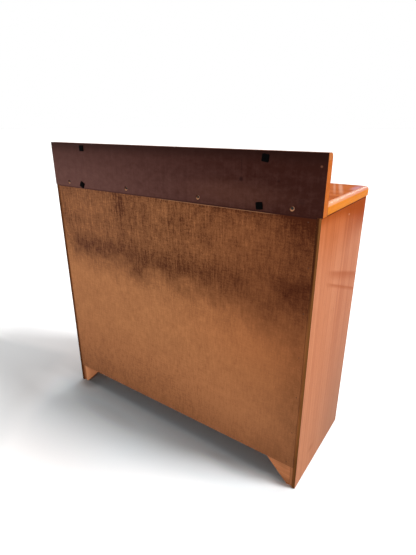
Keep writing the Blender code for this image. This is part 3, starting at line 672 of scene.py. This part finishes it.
low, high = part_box("top_lipping_right")
front_y, end_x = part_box("top_lipping_front")[0].y, high.x
inner_x, inner_y = end_x - LIPPING_WIDTH, front_y + LIPPING_WIDTH
section = nosing(LIPPING_WIDTH, high.z - low.z, NOSE_ROUND, NOSE_UNDER)
sweep = np.linspace(0.0, math.pi / 4 - GLUE_LINE / CORNER_ROUND, 7)
arc = np.stack([end_x - CORNER_ROUND + CORNER_ROUND * np.cos(sweep),
                front_y + CORNER_ROUND - CORNER_ROUND * np.sin(sweep)], -1)
end_inner = np.array([(inner_x + GLUE_LINE, high.y), *[(inner_x + GLUE_LINE, inner_y)] * (len(arc) + 1)])
end_outer = np.array([(end_x, high.y), (end_x, inner_y), *arc])
end_tones = seen(188, 100, 14), seen(210, 120, 24), seen(222, 134, 36)
lipping_end = lipping_finish("teak_lipping_end", 1, 31.0, end_tones, high.z, highlight_share=0.85, joint_y=high.y)
for name, way in SIDES.items():
    shell = lipping(section, end_inner * (way, 1), end_outer * (way, 1), low.z)
    node = "top_lipping_" + name
    add_piece("moulded_lipping_" + name, shell, lipping_end, "carcass", [node])
far = np.stack([end_x - CORNER_ROUND + CORNER_ROUND * np.sin(sweep[::-1]),
                front_y + CORNER_ROUND - CORNER_ROUND * np.cos(sweep[::-1])], -1)
half_outer = np.array([*far, (inner_x, front_y)])
half_inner = np.array([(inner_x, inner_y - GLUE_LINE)] * len(half_outer))
front_outer = np.concatenate([half_outer * (-1, 1), half_outer[::-1]])
front_inner_line = np.concatenate([half_inner * (-1, 1), half_inner[::-1]])
front_tones = seen(160, 86, 28), seen(180, 103, 38), seen(194, 118, 50)
lipping_front = lipping_finish("teak_lipping_front", 0, 37.0, front_tones, high.z, highlight_share=0.15)
shell = lipping(section, front_inner_line, front_outer, low.z)
add_piece("moulded_lipping_front", shell, lipping_front, "carcass", ["top_lipping_front"])


# Raised board
# A teak-faced board along the back of the top, with a solid rounded strip on its upper edge and lipped ends.
# Its back was painted a dark satin brown, darker towards the top, with painted shade along the upper rim. A
# painted sheen grows towards one end, and the paint is marked and chipped near the other.
BACK_FACE_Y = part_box("upstand_board")[1].y
SCREW_X = (-0.380, -0.1267, 0.1267, 0.380)
SCREW_Z = 0.7703
BARED_REACH = 0.0085
UPPER_ROUND = 0.010
STRIP_EASE = 0.0005
# Each mark has its middle in x and z, its reach along and up, and its share
OLD_MARKS = (
    ((-0.2514, 0.824), (0.0080, 0.0080), 0.75), ((-0.2514, 0.856), (0.0018, 0.0340), 0.40),
    ((-0.3450, 0.826), (0.0045, 0.0045), 0.45), ((-0.4010, 0.786), (0.0120, 0.0100), 0.30),
)


def brown_back(finish, faced):
    """Brown paint on the back of a finish: faint upright brush marks, a painted sheen towards one end,
    painted shade along the upper rim, and old marks near the other end.
    """
    brush = finish.noise((130.0, 1.0, 6.0), 3.0, 0.6)
    smudges = finish.noise((42.0, 1.0, 60.0), 4.0, 0.65, 0.0, 3.0)
    # Painted sheen: the brown is painted paler towards one end, over brush marks and smudges.
    sheen_toward_end = finish.fade(finish.x, -0.48, 0.40)
    sheen_and_smudges = finish.total((sheen_toward_end, 0.80), (brush, 0.26), (smudges, 0.75), (1.0, -0.49))
    painted = finish.mix(sheen_and_smudges, seen(50, 23, 17), seen(97, 65, 59))
    bloom = finish.spot(finish.x, finish.z, (-0.22, 0.790), (0.22, 0.045), 0.1)
    painted = finish.tint(painted, bloom, 0.22, seen(108, 70, 56))
    upper = finish.fade(finish.z, 0.775, 0.885)
    painted = finish.tint(painted, upper, 0.5, seen(44, 18, 12))
    # Painted shade: darkest along the upper rim.
    rim = finish.fade(finish.z, 0.852, 0.893)
    painted = finish.tint(painted, rim, 0.65, seen(22, 8, 6))
    for middle, reach, share in OLD_MARKS:
        mark = finish.spot(finish.x, finish.z, middle, reach, 0.2)
        painted = finish.tint(painted, mark, share, seen(30, 12, 10))
    chip = finish.spot(finish.x, finish.z, (-0.4371, 0.8611), (0.0035, 0.0035), 0.3)
    painted = finish.tint(painted, chip, 0.4, seen(142, 92, 70))
    on_back = finish.fade(finish.y, BACK_FACE_Y - 0.0005, BACK_FACE_Y - 0.0002)
    return finish.mix(on_back, faced, painted)


raised = Finish("raised_board", specular=0.02)
figure, pores = straight_grain(raised, 0, 23.0)
faced, gloss, relief = varnished(raised, figure, pores, *level_tones)
end_strip = raised.ramp(figure, (0.32, seen(170, 79, 2)), (0.66, seen(196, 101, 6)))
faced = raised.mix(raised.fade(raised.off_middle, 0.4494, 0.4498), faced, end_strip)
colour = brown_back(raised, faced)
for screw_x in SCREW_X:
    drilled = raised.spot(raised.x, raised.z, (screw_x, SCREW_Z), (BARED_REACH, BARED_REACH), 0.94)
    sunk = raised.times(drilled, raised.fade(raised.y, BACK_FACE_Y - 0.0001, BACK_FACE_Y - 0.0003))
    # Painted light and shade: each raw ring is painted pale on its lower side and dark on its upper side.
    toward_lit_side = raised.total((raised.x, -0.7), (raised.z, -0.7), (1.0, 0.7 * (screw_x + SCREW_Z)))
    raw = raised.mix(raised.fade(toward_lit_side, -0.005, 0.004), seen(60, 34, 24), seen(190, 136, 100))
    colour = raised.mix(sunk, colour, raw)
raised.show(colour, gloss, relief, depth=0.0001)
dress(raised, "upstand_board")

raised_edge = Finish("raised_board_edge", specular=0.02)
figure, pores = straight_grain(raised_edge, 0, 43.0)
tones = seen(162, 84, 30), seen(180, 100, 40), seen(196, 114, 52)
solid, gloss, relief = varnished(raised_edge, figure, pores, *tones)
low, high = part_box("upstand_lipping")
on_top = raised_edge.fade(raised_edge.z, high.z - SKIN, high.z - SKIN / 2)
solid = raised_edge.tint(solid, on_top, 0.7, seen(92, 50, 32))
raised_edge.show(brown_back(raised_edge, solid), gloss, relief, depth=0.0001)
base_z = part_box("upstand_board")[1].z
turn = np.linspace(0.0, math.pi / 2, 12)
nose_y = low.y + UPPER_ROUND - UPPER_ROUND * np.cos(turn)
nose_z = high.z - UPPER_ROUND + UPPER_ROUND * np.sin(turn)
nose = np.stack([nose_y, nose_z], -1)
outline = np.concatenate([[(low.y, base_z)], nose, [(high.y, high.z), (high.y, base_z)]])
ends = ((low.x, STRIP_EASE), (low.x + STRIP_EASE, 0.0), (high.x - STRIP_EASE, 0.0), (high.x, STRIP_EASE))
shell = bar(outline, 0, ends, [1, 2])
add_piece("raised_board_strip", shell, raised_edge, "carcass", ["upstand_lipping"])


# Screws of the raised board
# Slotted wood screws driven through the board into the edge of the top, and sunk below the painted face so
# that their countersinks show as raw rings. Each ring is painted dark as shade on its upper side and pale as
# light on its lower side, and the near-black heads also stand in for the shade of their recesses.
SCREW_TURNS = (25.0, 80.0, -40.0, 12.0)
screws = [f"upstand_screw_{n}" for n in (1, 2, 3, 4)]
head_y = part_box(screws[0])[1].y
long_screw = slotted_screw(
    head=0.0033, shank=0.0018, length=0.040, dome=0.0, slot_depth=0.0010, slot_width=0.00055
)
places = [(x, head_y, SCREW_Z) for x in SCREW_X]
shell = placed(long_screw, places, (0.0, 1.0, 0.0), SCREW_TURNS)
# The heads are near black: dark steel, painted darker still as the shade in their recesses.
black_in_shade = Finish("blackened_steel", specular=0.3, roughness=0.5, metallic=0.4)
patches = black_in_shade.noise((900.0, 900.0, 900.0), 3.0, 0.6)
metal = black_in_shade.ramp(patches, (0.3, seen(16, 12, 11)), (0.7, seen(40, 33, 30)))
black_in_shade.show(metal, relief=patches, depth=0.00004)
add_piece("raised_board_screws", shell, black_in_shade, "carcass", screws)


# Bumpers
# Square pads of black foam rubber that keep the chest off the wall. They were stuck by hand to the back of
# the raised board, so no two sit alike.
BUMPER_SIDE = 0.017
BUMPER_POWER = 9
BUMPER_TURNS = (0.0, -26.0, -8.0, 8.0)
# Each step up the pad has its share of the outline and its share of the thickness
BUMPER_STEPS = (
    (0.985, 0.0), (1.0, 0.12), (0.99, 0.62), (0.97, 0.82), (0.93, 0.95), (0.86, 1.0), (0.4, 0.98),
)


def square_pad(thick):
    """A pad about +Z, standing on zero. Its outline is where the powers of both coordinates, each over half
    the side, add up to one. It is repeated at each step, scaled and lifted by the step's shares."""
    angle = np.linspace(0.0, 2 * math.pi, 56, endpoint=False)
    powers = np.abs(np.cos(angle)) ** BUMPER_POWER + np.abs(np.sin(angle)) ** BUMPER_POWER
    corner = powers ** (-1 / BUMPER_POWER)
    square = BUMPER_SIDE / 2 * np.stack([corner * np.cos(angle), corner * np.sin(angle)], -1)
    steps = np.array(BUMPER_STEPS)
    grid = np.empty((len(steps), len(angle), 3))
    grid[..., :2] = square * steps[:, :1, None]
    grid[..., 2] = steps[:, 1:] * thick
    return carried(grid)


rubber = Finish("black_rubber", specular=0.02, roughness=0.9)
cells = rubber.noise((1500.0, 1500.0, 1500.0), 2.0, 0.6)
rubber.show(rubber.ramp(cells, (0.3, seen(2, 2, 2)), (0.7, seen(9, 8, 8))), relief=cells, depth=0.0001)
low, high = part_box("wall_bumper_1")
pad = square_pad(high.y - low.y)
for n, turn in zip((1, 2, 3, 4), BUMPER_TURNS):
    node = f"wall_bumper_{n}"
    low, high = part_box(node)
    place = [((low.x + high.x) / 2, low.y, (low.z + high.z) / 2)]
    shell = placed(pad, place, (0.0, 1.0, 0.0), turn)
    add_piece(f"stuck_bumper_{n}", shell, rubber, "carcass", [node])


# Drawer fronts
# Boards faced with matched leaves of crown-cut teak, whose arches run across each front. They were left plain
# behind.
FRONT_FACE_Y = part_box("drawer_1_front")[0].y
FRONT_BACK_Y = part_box("drawer_1_front")[1].y
LOWEST_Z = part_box("drawer_4_front")[0].z
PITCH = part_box("drawer_3_front")[0].z - LOWEST_Z
LEAF_TILT = 0.10
LEAF_MIDDLE = 0.46
HEART_DEPTH = 0.095
RING = 0.0062
RING_SWAY = 0.016


def crown_cut(finish, shift):
    """Leaves cut near the heart of a log that leans through them. A ring's radius at a point is the square
    root of the height off the leaf's middle squared plus the depth of the heart squared, and the depth grows
    along the leaf."""
    leaf_z = finish.calc("WRAP", finish.z, LOWEST_Z + PITCH, LOWEST_Z)
    height = finish.calc("SUBTRACT", leaf_z, LOWEST_Z + LEAF_MIDDLE * PITCH)
    depth = finish.total((finish.x, LEAF_TILT), (1.0, HEART_DEPTH))
    squares = finish.total((finish.times(height, height), 1.0), (finish.times(depth, depth), 1.0))
    radius = finish.calc("SQRT", squares)
    sway = finish.noise((4.0, 4.0, 22.0), 3.0, 0.55, 0.0, shift)
    swayed = finish.total((radius, 1.0), (sway, RING_SWAY))
    ring = finish.calc("FRACT", finish.calc("DIVIDE", swayed, RING))
    on_face = finish.fade(finish.y, FRONT_FACE_Y + 2 * SKIN, FRONT_FACE_Y + SKIN)
    late = finish.times(finish.fade(ring, 0.05, 0.9), finish.fade(ring, 1.0, 0.93), on_face)
    figure, pores = straight_grain(finish, 0, shift)
    return finish.total((figure, 0.85), (late, -0.16), (1.0, 0.14)), pores


front = Finish("teak_front", specular=0.05)
figure, pores = crown_cut(front, 53.0)
faced, gloss, relief = varnished(front, figure, pores, *level_tones)
plain = front.ramp(figure, (0.3, seen(168, 120, 78)), (0.7, seen(194, 146, 100)))
colour = front.mix(front.fade(front.y, FRONT_BACK_Y - 2 * SKIN, FRONT_BACK_Y - SKIN), faced, plain)
front.show(colour, gloss, relief, depth=0.00012)
dress(front, *[f"drawer_{n}_front" for n in DRAWERS])


# Pulls
# Half-moon lips of solid teak with a finger groove behind, drawn in towards both ends. Each is held by two
# pan-headed screws from inside the drawer.
PULL_KNOTS = (
    ((0.0, 0.0), (0.011, 0.0), (0.020, -0.010), (0.020, -0.019)),
    ((0.020, -0.019), (0.020, -0.023), (0.0180, -0.026), (0.0156, -0.026)),
    ((0.0156, -0.026), (0.0140, -0.026), (0.0132, -0.0234), (0.0118, -0.0219)),
    ((0.0118, -0.0219), (0.008, -0.0177), (0.004, -0.0134), (0.0, -0.009)),
)
PULL_DRAWN_IN = 0.88
PULL_TIP = 0.7
PULL_SCREW_OFF = 0.045
PULL_SCREW_DROP = 0.004


def rounded(knots, steps=12):
    """A closed outline of cubic curves, each from its first knot to its last one."""
    t = np.linspace(0.0, 1.0, steps, endpoint=False)[:, None]
    weights = np.concatenate([(1 - t) ** 3, 3 * (1 - t) ** 2 * t, 3 * (1 - t) * t**2, t**3], axis=1)
    curved = np.einsum("sk,nkd->nsd", weights, np.array(knots)).reshape(-1, 2)
    return np.concatenate([curved, [knots[-1][-1]]])


def half_moon(low, high):
    """A pull in the box between two corners. Its outline is scaled, about its upper back corner, by one less
    the drawn-in share of the squared way from the middle to an end, and both end rows are smaller again."""
    outline = rounded(PULL_KNOTS)
    along = np.sin(np.linspace(-math.pi / 2, math.pi / 2, 49))
    size = 1 - PULL_DRAWN_IN * along**2
    size[[0, -1]] *= PULL_TIP
    grid = np.empty((len(along), len(outline), 3))
    grid[..., 0] = ((low.x + high.x) / 2 + (high.x - low.x) / 2 * along)[:, None]
    grid[..., 1] = high.y - size[:, None] * outline[:, 0]
    grid[..., 2] = high.z + size[:, None] * outline[:, 1]
    return carried(grid)


pull_tones = seen(134, 75, 39), seen(154, 92, 52), seen(170, 108, 64)
pull_wood = lipping_finish("teak_pull", 0, 61.0, pull_tones)
pan_screw = slotted_screw(
    head=0.0036, shank=0.0018, length=0.016, dome=0.0014, slot_depth=0.0008, slot_width=0.0005
)
for n in DRAWERS:
    body = f"drawer_{n}"
    screw_places = []
    for name in SIDES:
        node = f"{body}_pull_{name}"
        low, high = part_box(node)
        add_piece(f"{body}_lip_{name}", half_moon(low, high), pull_wood, body, [node])
        for off in (-PULL_SCREW_OFF, PULL_SCREW_OFF):
            screw_places.append(((low.x + high.x) / 2 + off, FRONT_BACK_Y, high.z - PULL_SCREW_DROP))
    turns = 15.0 + 50.0 * n + 65.0 * np.arange(len(screw_places))
    shell = placed(pan_screw, screw_places, (0.0, 1.0, 0.0), turns)
    add_piece(f"{body}_pull_screws", shell, steel, body)


# Drawer boxes
# Dovetailed sides and a housed back of planed beech, with a thin plywood bottom slid into grooves from behind
# and pinned up to the back.
BOTTOM_PIN_X = (-0.3, -0.1, 0.1, 0.3)
BOTTOM_PIN_INSET = 0.006
beech_level = beech_finish("planed_beech_level", 0)
ply = Finish("drawer_ply", specular=0.25, roughness=0.55)
figure = ply.noise(by_grain(0, 1.5, 45.0), 4.0, 0.6, 1.2)
veneer = ply.ramp(figure, (0.3, seen(176, 134, 90)), (0.5, seen(202, 162, 114)), (0.7, seen(214, 178, 130)))
ply.show(veneer, relief=figure, depth=0.0001)
for n in DRAWERS:
    body = f"drawer_{n}"
    dress(beech_deep, body + "_side_left", body + "_side_right")
    dress(beech_level, body + "_back")
    dress(ply, body + "_bottom")
    low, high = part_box(body + "_bottom")
    places = [(x, high.y - BOTTOM_PIN_INSET, low.z) for x in BOTTOM_PIN_X]
    shell = placed(pin, places, (0.0, 0.0, -1.0), upright=(0.0, 1.0, 0.0))
    add_piece(body + "_bottom_pins", shell, rusty, body)


# Floor
# A plain pale studio floor, which takes the chest's soft shadow. It is white to the eye and in reflections,
# and a mid grey for the light that it throws back up. Behind the chest it is cooler, to balance the wood's
# glow. Painted shadow darkens it close to the chest, in spots of the shadow and beyond the far end, and a
# faint painted glow, seen directly and in reflections, lightens other parts of the shadow.
FLOOR_SIDE = 120.0
FLOOR_WHITE = (0.97, 0.97, 0.97, 1.0)
FLOOR_COOL = (0.735, 0.91, 1.0, 1.0)
# The grey of the painted shadow beyond the far end
FLOOR_BEYOND = (0.785, 0.80, 0.805, 1.0)
FLOOR_BLACK = (0.0, 0.0, 0.0, 1.0)
FLOOR_GREY = (0.55, 0.55, 0.55, 1.0)
# Each spot of painted shadow has its middle in x and y, its reach along both, the edge of its fade and its
# share
SHADOW_SPOTS = (
    ((0.405, 0.178), (0.060, 0.040), 0.1, 0.36),
    ((0.21, 0.262), (0.20, 0.045), 0.2, 0.13),
    ((-0.25, 0.21), (0.10, 0.03), 0.2, 0.12),
)


def background_rays(nodes, links):
    """1 for rays that show the background: straight from the camera, off gloss or through glass."""
    ray = nodes.new("ShaderNodeLightPath")
    found = ray.outputs["Is Camera Ray"]
    for kind in ("Is Glossy Ray", "Is Transmission Ray"):
        either = nodes.new("ShaderNodeMath")
        either.operation = "MAXIMUM"
        links.new(found, either.inputs[0])
        links.new(ray.outputs[kind], either.inputs[1])
        found = either.outputs[0]
    return found


bpy.ops.mesh.primitive_plane_add(size=FLOOR_SIDE)
floor = bpy.context.object
floor.name = "studio_floor"
pale = Finish("pale_floor", specular=0.0, roughness=0.9)
looked_at = background_rays(pale.tree.nodes, pale.tree.links)
off_back = pale.calc("ABSOLUTE", pale.y)
open_side = pale.calc("MAXIMUM", pale.total((pale.x, -0.40), (1.0, 0.015)), 0.0)
glow = pale.times(
    pale.fade(pale.calc("ADD", off_back, open_side), 0.55, 0.17), pale.fade(pale.off_middle, 0.64, 0.30),
    pale.fade(pale.y, -0.15, 0.02), pale.total((pale.fade(off_back, 0.245, 0.185), -0.42), (1.0, 1.0)),
)
shown = pale.mix(glow, FLOOR_WHITE, FLOOR_COOL)
# Painted shadow: darker close to the chest.
shown = pale.tint(shown, pale.fade(off_back, 0.185, 0.155), 0.07, FLOOR_BLACK)
# Painted shadow: darker spots in the floor's shadow.
for middle, reach, edge, share in SHADOW_SPOTS:
    shadow_spot = pale.spot(pale.x, pale.y, middle, reach, edge)
    shown = pale.tint(shown, shadow_spot, share, FLOOR_BLACK)
# Painted shadow: greyer beyond the far end.
beyond = pale.fade(pale.total((pale.x, 1.0), (pale.y, 0.5)), 0.60, 0.76)
beyond = pale.times(beyond, pale.fade(pale.total((pale.x, -0.25), (pale.y, 1.0)), -0.10, -0.03))
shown = pale.mix(beyond, shown, FLOOR_BEYOND)
# Painted light: a faint glow, seen directly and in reflections, lightens parts of the shadow.
lit = pale.times(pale.fade(pale.y, 0.19, 0.31), pale.fade(pale.y, 0.50, 0.36), pale.fade(pale.x, 0.52, 0.25))
skirt = pale.total((pale.x, -0.229), (pale.y, 1.0))
near_edge = pale.times(
    pale.fade(skirt, 0.24, 0.28), pale.fade(skirt, 0.345, 0.295),
    pale.fade(pale.x, -0.05, -0.25), pale.fade(pale.x, -0.42, -0.35),
)
far_edge = pale.spot(pale.x, pale.y, (0.53, 0.268), (0.20, 0.07), 0.3)
near_tip = pale.spot(pale.x, pale.y, (-0.385, 0.199), (0.04, 0.022), 0.2)
lift = pale.total((lit, 0.085), (near_edge, 0.12), (far_edge, 0.055), (near_tip, 0.08))
pale.shader.inputs["Emission Color"].default_value = (1.0, 1.0, 1.0, 1.0)
pale.join(pale.shader.inputs["Emission Strength"], pale.times(lift, looked_at))
pale.show(pale.mix(looked_at, FLOOR_GREY, shown))
floor.data.materials.append(pale.material)


# Light
# A dim even room, a soft lamp beyond one end that throws the shadow, a broad one overhead, a low window in
# front, and fills that graze the floor and reach only the upright faces on the shadow side.
ROOM_LEVEL = 0.17
studio = bpy.data.worlds.new("studio")
bpy.context.scene.world = studio
studio.use_nodes = True
nodes, links = studio.node_tree.nodes, studio.node_tree.links
strength = nodes.new("ShaderNodeMapRange")
links.new(background_rays(nodes, links), strength.inputs["Value"])
strength.inputs["To Min"].default_value = ROOM_LEVEL
strength.inputs["To Max"].default_value = 1.0
sky = nodes["Background"]
sky.inputs["Color"].default_value = (1.0, 1.0, 1.0, 1.0)
links.new(strength.outputs[0], sky.inputs["Strength"])


def lamp(name, heading, drop, energy, spread):
    """A far lamp. Its light travels along a heading in degrees from +X, and drops at an angle."""
    light = bpy.data.lights.new(name, "SUN")
    light.energy = energy
    light.angle = math.radians(spread)
    made = bpy.data.objects.new(name, light)
    bpy.context.scene.collection.objects.link(made)
    turn, fall = math.radians(heading), math.radians(drop)
    travel = Vector((math.cos(turn) * math.cos(fall), math.sin(turn) * math.cos(fall), -math.sin(fall)))
    made.rotation_euler = travel.to_track_quat("-Z", "Y").to_euler()


lamp("key", heading=20.0, drop=44.0, energy=3.0, spread=18.0)
lamp("overhead", heading=70.0, drop=66.0, energy=1.75, spread=60.0)
lamp("window", heading=90.0, drop=19.0, energy=0.8, spread=14.0)
lamp("back_fill", heading=-84.0, drop=1.5, energy=2.4, spread=8.0)
lamp("end_fill", heading=180.0, drop=1.5, energy=1.0, spread=8.0)


# Camera
# It stands where the photograph was taken, behind the chest and to its left, with a phone's wide lens. Its
# place, turn and lens were fitted to the straight edges of the chest.
SENSOR_WIDTH = 36.0
LENS = 25.958
CAMERA_PLACE = (-0.7264, 0.9857, 0.9423)
CAMERA_TURN = (68.940, 0.103, -144.891)
eye = bpy.data.cameras.new("camera")
eye.sensor_width = SENSOR_WIDTH
eye.lens = LENS
camera = bpy.data.objects.new("camera", eye)
bpy.context.scene.collection.objects.link(camera)
camera.location = CAMERA_PLACE
camera.rotation_euler = [math.radians(angle) for angle in CAMERA_TURN]
bpy.context.scene.camera = camera
bpy.context.scene.view_settings.view_transform = "Standard"
